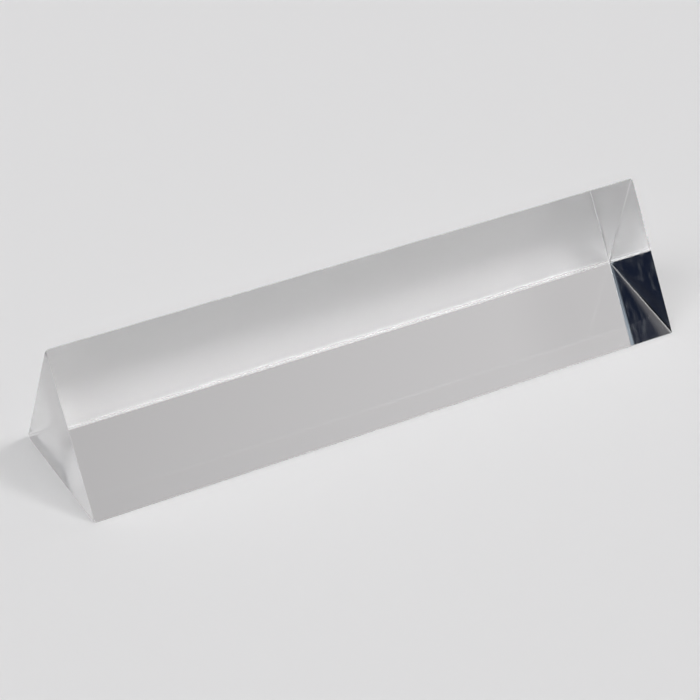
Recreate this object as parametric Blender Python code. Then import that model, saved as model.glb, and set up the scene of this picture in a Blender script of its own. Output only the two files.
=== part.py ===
"""Equilateral dispersing prism: one solid bar of clear optical glass, polished on all five faces.

The bar lies on one of its three long faces. X runs along its length, Z is up, and the origin is the
middle of the face that it rests on. Lengths are in metres.

Run with: blender --background --python part.py
"""

import math

import bmesh
import bpy

# Driving dimensions.
LENGTH = 0.100  # from end face to end face
FACE_WIDTH = 0.0257  # width of each long face, taken to the sharp edges that the arrises replace
ARRIS_SETBACK = 0.00025  # how far each softened edge is set back along the faces beside it
ARRIS_STEPS = 2  # flat strips across one arris

# Optical crown glass.
GLASS_COLOUR = (0.90, 0.93, 0.92, 1.0)
GLASS_ROUGHNESS = 0.02
GLASS_METALLIC = 0.0

HEIGHT = FACE_WIDTH * math.sqrt(3) / 2  # of the equilateral cross-section


def clear_scene():
    """Removes whatever the file opened with."""
    for leftover in list(bpy.data.objects):
        bpy.data.objects.remove(leftover, do_unlink=True)


def glass_material():
    """The prism's clear glass, as plain shader values."""
    material = bpy.data.materials.new("optical_glass")
    material.use_nodes = True
    shader = material.node_tree.nodes["Principled BSDF"]
    shader.inputs["Base Color"].default_value = GLASS_COLOUR
    shader.inputs["Roughness"].default_value = GLASS_ROUGHNESS
    shader.inputs["Metallic"].default_value = GLASS_METALLIC
    return material


def cross_section():
    """(y, z) of the sharp triangle's corners: front, back and apex edge."""
    return [
        (-FACE_WIDTH / 2, 0.0),
        (FACE_WIDTH / 2, 0.0),
        (0.0, HEIGHT),
    ]


def sharp_bar():
    """A bmesh of the triangular bar, made by extruding its left end face along X."""
    bar = bmesh.new()
    corners = [bar.verts.new((-LENGTH / 2, y, z)) for y, z in cross_section()]
    end_face = bar.faces.new(corners)
    extruded = bmesh.ops.extrude_face_region(bar, geom=[end_face])
    far_corners = [item for item in extruded["geom"] if isinstance(item, bmesh.types.BMVert)]
    bmesh.ops.translate(bar, verts=far_corners, vec=(LENGTH, 0.0, 0.0))
    bmesh.ops.recalc_face_normals(bar, faces=bar.faces)
    return bar


def soften_edges(bar):
    """Grinds an arris along all nine edges, so that no edge is sharp."""
    bmesh.ops.bevel(
        bar,
        geom=list(bar.edges) + list(bar.verts),
        offset=ARRIS_SETBACK,
        offset_type="OFFSET",
        segments=ARRIS_STEPS,
        profile=0.5,
        affect="EDGES",
        clamp_overlap=True,
    )


def build_prism():
    """The prism, the object's only piece."""
    bar = sharp_bar()
    soften_edges(bar)
    mesh = bpy.data.meshes.new("glass_prism")
    bar.to_mesh(mesh)
    bar.free()
    mesh.materials.append(glass_material())
    prism = bpy.data.objects.new("glass_prism", mesh)
    bpy.context.scene.collection.objects.link(prism)
    return prism


clear_scene()
build_prism()
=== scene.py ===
"""Looks of the equilateral glass prism: refined bar, optical glass, studio floor, light and camera.

Everything is in metres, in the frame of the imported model: X along the bar, Z up, and the origin at the
middle of the face that the bar rests on.
"""

import math

import bmesh
import bpy
from mathutils import Matrix, Vector, noise


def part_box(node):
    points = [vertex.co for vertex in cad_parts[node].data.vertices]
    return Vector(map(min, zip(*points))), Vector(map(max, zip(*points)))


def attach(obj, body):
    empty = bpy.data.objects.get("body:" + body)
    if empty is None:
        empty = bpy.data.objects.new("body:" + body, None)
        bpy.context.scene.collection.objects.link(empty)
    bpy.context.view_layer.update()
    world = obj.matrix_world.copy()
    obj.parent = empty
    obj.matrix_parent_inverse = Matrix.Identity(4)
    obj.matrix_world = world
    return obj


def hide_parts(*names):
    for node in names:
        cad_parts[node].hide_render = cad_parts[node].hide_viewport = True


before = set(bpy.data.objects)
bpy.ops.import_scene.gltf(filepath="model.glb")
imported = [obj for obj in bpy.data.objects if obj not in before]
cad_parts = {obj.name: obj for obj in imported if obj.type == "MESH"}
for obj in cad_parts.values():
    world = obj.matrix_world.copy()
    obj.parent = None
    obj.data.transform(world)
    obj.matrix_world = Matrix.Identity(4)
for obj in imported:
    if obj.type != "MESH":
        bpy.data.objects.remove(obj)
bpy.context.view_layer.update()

MM = 0.001
NODE = "glass_prism"

# The bar, from the frame.
LOW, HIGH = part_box(NODE)
LENGTH = HIGH.x - LOW.x
LEFT_END, RIGHT_END = LOW.x, HIGH.x
# The front face's plane is this far out along its normal, and the sharp section follows from that.
FRONT_NORMAL = Vector((0.0, -math.sqrt(3) / 2, 0.5))
FRONT_REACH = max(FRONT_NORMAL.dot(v.co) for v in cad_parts[NODE].data.vertices)
FACE_WIDTH = FRONT_REACH * 4 / math.sqrt(3)
SECTION_HEIGHT = FACE_WIDTH * math.sqrt(3) / 2

# The long arrises. Each is set back from its sharp corner along the long faces before and after it
# (going front, back, apex), and its crown is 0 for a flat strip and 1 for a full rounding.
ARRISES = {
    "front": (0.18 * MM, 0.18 * MM, 0.3),
    "back": (0.52 * MM, 0.26 * MM, 0.2),
    "apex": (0.18 * MM, 0.18 * MM, 0.3),
}
ARRIS_WANDER = 0.08  # how much of its setback a hand-ground arris varies by along the bar
ARRIS_WANDER_LENGTH = 14 * MM
ARRIS_NOISE_GAP = 7.3  # keeps the three arrises' wandering apart in the noise
LEAST_SETBACK = 0.02 * MM  # of an arris, where the ends' rounding takes it in
ARRIS_STEPS = 10
END_ARRIS = 0.07 * MM  # radius of the edge between an end face and a long face
# Hand polishing has turned an end face down along some of its edges. By (end, long face): how far the face
# has dropped at the edge, and how wide the turned-down band is at the long face's first and second corners.
TURNED_EDGES = {
    ("right", "rest"): (0.10 * MM, 5.5 * MM, 0.4 * MM),
    ("right", "back"): (0.10 * MM, 2.2 * MM, 2.2 * MM),
}
TURNED_EDGE_STEPS = 6
END_ARRIS_STEPS = 4
STATION_SPACING = 1.6 * MM
END_ZONE = 0.6 * MM  # holds the end arrises and the corners' wear
END_ZONE_STEPS = 4

# Corners that are worn rounder than their arrises. By (end, corner): extra setback, and depth along the bar.
CORNER_WEAR = {
    ("left", "apex"): (1.0 * MM, 0.45 * MM),
    ("left", "front"): (0.8 * MM, 0.35 * MM),
    ("left", "back"): (0.5 * MM, 0.30 * MM),
    ("right", "apex"): (0.35 * MM, 0.30 * MM),
    ("right", "back"): (0.3 * MM, 0.25 * MM),
}

# Stage.
AIR_GAP = 0.05 * MM  # between the rest face and the floor
FLOOR_RADIUS = 6.0
FLOOR_COLOUR = (0.80, 0.80, 0.80)

# Camera.
CAMERA_AIM = Vector((-4.99 * MM, -6.44 * MM, 11.10 * MM))
CAMERA_AZIMUTH = -27.85
CAMERA_ELEVATION = 31.84
CAMERA_ROLL = -1.72
CAMERA_DISTANCE = 0.3230
CAMERA_LENS = 111.32

# Studio. Soft patches of the surroundings, later ones over earlier ones: azimuth and elevation of the
# middle, as compass() takes them, the degrees from there at which the patch starts to fade and at which it
# ends, and its light.
SCREEN = (0.006, 0.010, 0.024)
STUDIO = (
    (95, 25, 0, 120, (0.695, 0.683, 0.688)),  # pale room on the right
    (-92, 28, 0, 45, (0.52, 0.54, 0.60)),  # cool fill from the left
    (133, 52.5, 6, 10.5, (13.4, 13.4, 13.4)),  # small, strong soft box at the front right
    (250, 49.5, 1, 26, (3.4, 3.4, 3.4)),  # broad soft box at the front left
    (146.8, 20.2, 1.2, 3.6, (0.02, 0.02, 0.02)),  # dark stand, mirrored in the front face
    (-50, 29.5, 5, 8.5, (0.36, 0.42, 0.48)),  # pale blue beside the dark screen
    (-31, 35, 3, 7, (0.11, 0.11, 0.12)),  # grey beside the dark screen
    (-42.5, 25, 3, 5, SCREEN),  # the screen's lower part
    (-36.8, 30.4, 1.5, 3.6, SCREEN),  # its middle, which the right end face looks at
    (0, -90, 90.5, 101, (0.70, 0.70, 0.70)),  # carries the floor on past its edge
)

# Glass.
GLASS_IOR = 1.517
HAZE_NOISE = (0.40, 0.70)  # the noise values between which the haze comes in
SPECKS = ((2.3, 0.09, 0.5), (0.9, 0.045, 0.35))  # spacing and radius in millimetres, and share of cells
SLEEK_TURNS = ((0, 0, 8), (35, 20, -30))  # degrees, for each family of fine scratches
SLEEK_LENGTH = 12.0  # millimetres, as the width is
SLEEK_WIDTH = 0.16
SLEEK_NOISE = (0.80, 0.84)  # the noise values between which a scratch comes in


# ---------------------------------------------------------------- the bar's mesh

CORNERS = ("front", "back", "apex")
SURFACES = ("polished", "left_end", "right_end", "long_arris", "end_arris")  # in the materials' order
LONG_FACES = ("rest", "back", "front")  # each starts at the corner with the same place in CORNERS
# Moving a long face in by some distance slides its corners along the other long faces by this much more.
SLIDE = 1 / math.cos(math.radians(30))


def sharp_corner(name):
    """(y, z) of a corner of the sharp section."""
    places = {
        "front": (-FACE_WIDTH / 2, 0.0),
        "back": (FACE_WIDTH / 2, 0.0),
        "apex": (0.0, SECTION_HEIGHT),
    }
    return Vector(places[name])


def along_face(row):
    """Direction of a long face in the section, from its first corner to the next."""
    return (sharp_corner(CORNERS[(row + 1) % 3]) - sharp_corner(CORNERS[row])).normalized()


def end_inset(face, corner_place, x):
    """How far a long face has moved in near an end, at its first (0) or second (1) corner."""
    end = "left" if x < 0 else "right"
    inward = min(x - LEFT_END, RIGHT_END - x)
    drop, *widths = TURNED_EDGES.get((end, face), (0.0, 0.0, 0.0))
    if inward < drop:
        return END_ARRIS + widths[corner_place] * (1 - math.sqrt(inward / drop))
    rise = max(0.0, END_ARRIS - (inward - drop))
    return END_ARRIS - math.sqrt(END_ARRIS**2 - rise**2)


def arris_at(corner, x):
    """Setbacks along the faces before and after a corner, at a place along the bar."""
    row = CORNERS.index(corner)
    wander = noise.noise(Vector((x / ARRIS_WANDER_LENGTH, ARRIS_NOISE_GAP * row, 0.5)))
    before, after, _ = ARRISES[corner]
    worn_away = 0.0
    for (end, worn), (extra, depth) in CORNER_WEAR.items():
        if worn != corner:
            continue
        inward = x - LEFT_END if end == "left" else RIGHT_END - x
        closeness = max(0.0, 1.0 - inward / depth)
        worn_away += extra * closeness**2
    scale = 1 + ARRIS_WANDER * wander
    return before * scale + worn_away, after * scale + worn_away


def section_ring(x):
    """The section's points at x, each arris drawn as a quadratic curve from face to face."""
    ring = []
    for row, corner in enumerate(CORNERS):
        onward = along_face(row)
        backward = -along_face(row - 1)
        inset_after = end_inset(LONG_FACES[row], 0, x)
        inset_before = end_inset(LONG_FACES[row - 1], 1, x)
        tip = sharp_corner(corner) + (backward * inset_after + onward * inset_before) * SLIDE
        shrink = max(inset_after, inset_before) * SLIDE
        before, after = (max(setback - shrink, LEAST_SETBACK) for setback in arris_at(corner, x))
        start = tip + backward * before
        end = tip + onward * after
        pull = ((start + end) / 2).lerp(tip, ARRISES[corner][2])
        for step in range(ARRIS_STEPS + 1):
            t = step / ARRIS_STEPS
            point = start * (1 - t) ** 2 + pull * (2 * t * (1 - t)) + end * t**2
            ring.append(Vector((x, point.x, point.y)))
    return ring


def end_stations(end):
    """Distances in from an end face at which the section is drawn, packed where the end is rounded."""
    drops = {0.0} | {drop for (side, _), (drop, _, _) in TURNED_EDGES.items() if side == end}
    places = set()
    for drop in drops:
        for step in range(TURNED_EDGE_STEPS + 1):
            places.add(drop * (step / TURNED_EDGE_STEPS) ** 2)
        for step in range(END_ARRIS_STEPS + 1):
            places.add(drop + END_ARRIS * (1 - math.cos(math.pi / 2 * step / END_ARRIS_STEPS)))
    deepest = max(places)
    for step in range(1, END_ZONE_STEPS + 1):
        places.add(deepest + (END_ZONE - deepest) * step / END_ZONE_STEPS)
    return sorted(places)


def stations():
    """Places along the bar at which the section is drawn, from the left end face to the right one."""
    count = round((LENGTH - 2 * END_ZONE) / STATION_SPACING)
    spacing = (LENGTH - 2 * END_ZONE) / count
    plan = [LEFT_END + inward for inward in end_stations("left")]
    plan += [LEFT_END + END_ZONE + spacing * step for step in range(1, count)]
    plan += [RIGHT_END - inward for inward in reversed(end_stations("right"))]
    return plan


def bar_mesh():
    """The bar as rings of its section, joined into one closed surface."""
    bar = bmesh.new()
    places = stations()
    rings = [[bar.verts.new(point) for point in section_ring(x)] for x in places]
    count = len(rings[0])
    per_corner = ARRIS_STEPS + 1
    for index, (here, there) in enumerate(zip(rings, rings[1:])):
        for k in range(count):
            after = (k + 1) % count
            face = bar.faces.new((here[k], there[k], there[after], here[after]))
            long_face = LONG_FACES[k // per_corner]
            is_rounded = any(end_inset(long_face, 0, x) > 0 for x in places[index : index + 2])
            is_arris = k % per_corner != ARRIS_STEPS
            surface = "end_arris" if is_rounded else "long_arris" if is_arris else "polished"
            face.smooth = surface != "polished"
            face.material_index = SURFACES.index(surface)
    for ring, surface in ((rings[0], "left_end"), (rings[-1], "right_end")):
        cap = bar.faces.new(ring)
        cap.smooth = False
        cap.material_index = SURFACES.index(surface)
    bmesh.ops.recalc_face_normals(bar, faces=bar.faces)
    mesh = bpy.data.meshes.new("prism_bar")
    bar.to_mesh(mesh)
    bar.free()
    return mesh


# ---------------------------------------------------------------- materials


def principled(name):
    """A new material and its shader."""
    material = bpy.data.materials.new(name)
    material.use_nodes = True
    return material, material.node_tree.nodes["Principled BSDF"]


class Texture:
    """Procedural masks over a surface, in millimetres of the bar's own coordinates."""

    def __init__(self, tree):
        self.tree = tree
        self.place = tree.nodes.new("ShaderNodeTexCoord").outputs["Object"]

    def ramp(self, value, start, full, low=0.0, high=1.0):
        """low where value is at start, rising to high where it reaches full."""
        node = self.tree.nodes.new("ShaderNodeMapRange")
        node.inputs["From Min"].default_value = start
        node.inputs["From Max"].default_value = full
        node.inputs["To Min"].default_value = low
        node.inputs["To Max"].default_value = high
        self.tree.links.new(value, node.inputs["Value"])
        return node.outputs["Result"]

    def join(self, operation, first, second):
        """Two masks joined by a maths operation."""
        node = self.tree.nodes.new("ShaderNodeMath")
        node.operation = operation
        self.tree.links.new(first, node.inputs[0])
        self.tree.links.new(second, node.inputs[1])
        return node.outputs[0]

    def clouds(self, size):
        """Soft noise with blotches of a size."""
        node = self.tree.nodes.new("ShaderNodeTexNoise")
        node.inputs["Scale"].default_value = 1 / (size * MM)
        node.inputs["Detail"].default_value = 1.0
        self.tree.links.new(self.place, node.inputs["Vector"])
        return node.outputs["Fac"]

    def specks(self, spacing, radius, share):
        """Round specks, about one in every spacing-sized cell that is among the given share."""
        node = self.tree.nodes.new("ShaderNodeTexVoronoi")
        node.inputs["Scale"].default_value = 1 / (spacing * MM)
        self.tree.links.new(self.place, node.inputs["Vector"])
        here = self.ramp(node.outputs["Distance"], radius / spacing, 0.5 * radius / spacing)
        chosen = self.tree.nodes.new("ShaderNodeMath")
        chosen.operation = "LESS_THAN"
        self.tree.links.new(node.outputs["Color"], chosen.inputs[0])
        chosen.inputs[1].default_value = share
        return self.join("MULTIPLY", here, chosen.outputs[0])

    def sleeks(self, turn, length, width):
        """Hair-fine scratches: noise drawn out into lines that are turned by an angle about each axis."""
        mapping = self.tree.nodes.new("ShaderNodeMapping")
        mapping.inputs["Rotation"].default_value = [math.radians(angle) for angle in turn]
        mapping.inputs["Scale"].default_value = (1 / (length * MM), 1 / (width * MM), 1 / (width * MM))
        self.tree.links.new(self.place, mapping.inputs["Vector"])
        node = self.tree.nodes.new("ShaderNodeTexNoise")
        node.inputs["Scale"].default_value = 1.0
        node.inputs["Detail"].default_value = 0.0
        self.tree.links.new(mapping.outputs["Vector"], node.inputs["Vector"])
        return self.ramp(node.outputs["Fac"], *SLEEK_NOISE)


def glass(name, colour, haze, cloud_size, dust, scratched):
    """Clear glass. Its haze varies between two roughnesses, and dust and scratches have one each."""
    material, shader = principled(name)
    shader.inputs["Base Color"].default_value = (*colour, 1.0)
    shader.inputs["IOR"].default_value = GLASS_IOR
    shader.inputs["Transmission Weight"].default_value = 1.0
    texture = Texture(material.node_tree)
    roughness = texture.ramp(texture.clouds(cloud_size), *HAZE_NOISE, *haze)
    marks = [(texture.specks(*kind), dust) for kind in SPECKS]
    marks += [(texture.sleeks(turn, SLEEK_LENGTH, SLEEK_WIDTH), scratched) for turn in SLEEK_TURNS]
    for mark, rough in marks:
        roughness = texture.join("MAXIMUM", roughness, texture.ramp(mark, 0.0, 1.0, 0.0, rough))
    material.node_tree.links.new(roughness, shader.inputs["Roughness"])
    return material


def surface_materials():
    """The long faces' bright polish, the ends' hazier one and the arrises' glass, in the order of SURFACES.

    After the name: colour, the haze's least and most roughness, the size of its clouds in millimetres, and
    the roughness of dust and of scratches.
    """
    return [
        glass("polished_optical_glass", (0.988, 0.988, 0.988), (0.0, 0.03), 9.0, 0.22, 0.12),
        glass("left_end_glass", (0.985, 0.985, 0.985), (0.11, 0.17), 9.0, 0.30, 0.22),
        glass("right_end_glass", (0.985, 0.985, 0.985), (0.03, 0.13), 2.4, 0.45, 0.20),
        glass("long_arris_glass", (1.0, 1.0, 1.0), (0.0, 0.01), 9.0, 0.12, 0.05),
        glass("end_arris_glass", (1.0, 1.0, 1.0), (0.06, 0.12), 9.0, 0.30, 0.20),
    ]


def build_prism():
    """The finished bar, shown in place of the CAD one."""
    mesh = bar_mesh()
    for material in surface_materials():
        mesh.materials.append(material)
    prism = bpy.data.objects.new("prism_bar", mesh)
    bpy.context.scene.collection.objects.link(prism)
    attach(prism, "root")
    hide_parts(NODE)
    return prism


# ---------------------------------------------------------------- stage, light and camera


def build_floor():
    """A pale, matt disc just under the bar."""
    floor_mesh = bmesh.new()
    bmesh.ops.create_circle(floor_mesh, cap_ends=True, segments=96, radius=FLOOR_RADIUS)
    mesh = bpy.data.meshes.new("floor")
    floor_mesh.to_mesh(mesh)
    floor_mesh.free()
    material, shader = principled("pale_floor")
    shader.inputs["Base Color"].default_value = (*FLOOR_COLOUR, 1.0)
    shader.inputs["Roughness"].default_value = 0.9
    shader.inputs["Specular IOR Level"].default_value = 0.0
    mesh.materials.append(material)
    floor = bpy.data.objects.new("floor", mesh)
    floor.location.z = -AIR_GAP
    bpy.context.scene.collection.objects.link(floor)


def compass(azimuth, elevation):
    """Unit vector: azimuth in degrees from +Y towards +X, elevation above the horizon."""
    a, e = math.radians(azimuth), math.radians(elevation)
    return Vector((math.sin(a) * math.cos(e), math.cos(a) * math.cos(e), math.sin(e)))


class Sky:
    """The studio's surroundings: soft patches of light and shade by direction."""

    def __init__(self):
        world = bpy.data.worlds.new("studio")
        world.use_nodes = True
        self.tree = world.node_tree
        self.tree.nodes.clear()
        self.direction = self.tree.nodes.new("ShaderNodeTexCoord").outputs["Generated"]
        self.output = self.tree.nodes.new("ShaderNodeOutputWorld")
        self.background = self.tree.nodes.new("ShaderNodeBackground")
        self.tree.links.new(self.background.outputs[0], self.output.inputs["Surface"])
        dark = self.tree.nodes.new("ShaderNodeRGB")
        dark.outputs[0].default_value = (0.0, 0.0, 0.0, 1.0)
        self.colour = dark.outputs[0]
        bpy.context.scene.world = world

    def near(self, azimuth, elevation, full, edge):
        """1 within full degrees of a direction, falling smoothly to 0 at edge degrees."""
        dot = self.tree.nodes.new("ShaderNodeVectorMath")
        dot.operation = "DOT_PRODUCT"
        self.tree.links.new(self.direction, dot.inputs[0])
        dot.inputs[1].default_value = compass(azimuth, elevation)
        ramp = self.tree.nodes.new("ShaderNodeMapRange")
        ramp.interpolation_type = "SMOOTHSTEP"
        ramp.inputs["From Min"].default_value = math.cos(math.radians(edge))
        ramp.inputs["From Max"].default_value = math.cos(math.radians(full))
        self.tree.links.new(dot.outputs["Value"], ramp.inputs["Value"])
        return ramp.outputs["Result"]

    def paint(self, factor, colour):
        """Turns to colour where factor is 1."""
        mix = self.tree.nodes.new("ShaderNodeMix")
        mix.data_type = "RGBA"
        self.tree.links.new(factor, mix.inputs["Factor"])
        self.tree.links.new(self.colour, mix.inputs["A"])
        mix.inputs["B"].default_value = (*colour, 1.0)
        self.colour = mix.outputs["Result"]

    def finish(self):
        """Lights the scene with what has been painted."""
        self.tree.links.new(self.colour, self.background.inputs["Color"])


def build_light():
    """Pale surroundings with two soft boxes and, behind the bar on the left, a small dark screen."""
    sky = Sky()
    for azimuth, elevation, full, edge, colour in STUDIO:
        sky.paint(sky.near(azimuth, elevation, full, edge), colour)
    sky.finish()


def build_camera():
    """The camera, aimed at CAMERA_AIM from its azimuth, elevation and distance, then rolled."""
    camera = bpy.data.cameras.new("camera")
    camera.lens = CAMERA_LENS
    camera.clip_start = 0.01
    camera.clip_end = 50.0
    holder = bpy.data.objects.new("camera", camera)
    bpy.context.scene.collection.objects.link(holder)
    back = compass(180 - CAMERA_AZIMUTH, CAMERA_ELEVATION)
    right = Vector((-back.y, back.x, 0.0)).normalized()
    up = back.cross(right)
    axes = Matrix((right, up, back)).transposed()
    turned = axes @ Matrix.Rotation(math.radians(CAMERA_ROLL), 3, "Z")
    holder.matrix_world = Matrix.Translation(CAMERA_AIM + back * CAMERA_DISTANCE) @ turned.to_4x4()
    bpy.context.scene.camera = holder


def set_light_paths():
    """A ray crosses the solid bar many times before it leaves, so the bounce limits are raised."""
    cycles = bpy.context.scene.cycles
    cycles.max_bounces = 40
    cycles.glossy_bounces = 40
    cycles.transmission_bounces = 40
    cycles.diffuse_bounces = 4
    cycles.blur_glossy = 0.0
    bpy.context.scene.view_settings.view_transform = "Standard"


build_camera()
build_prism()
build_floor()
build_light()
set_light_paths()
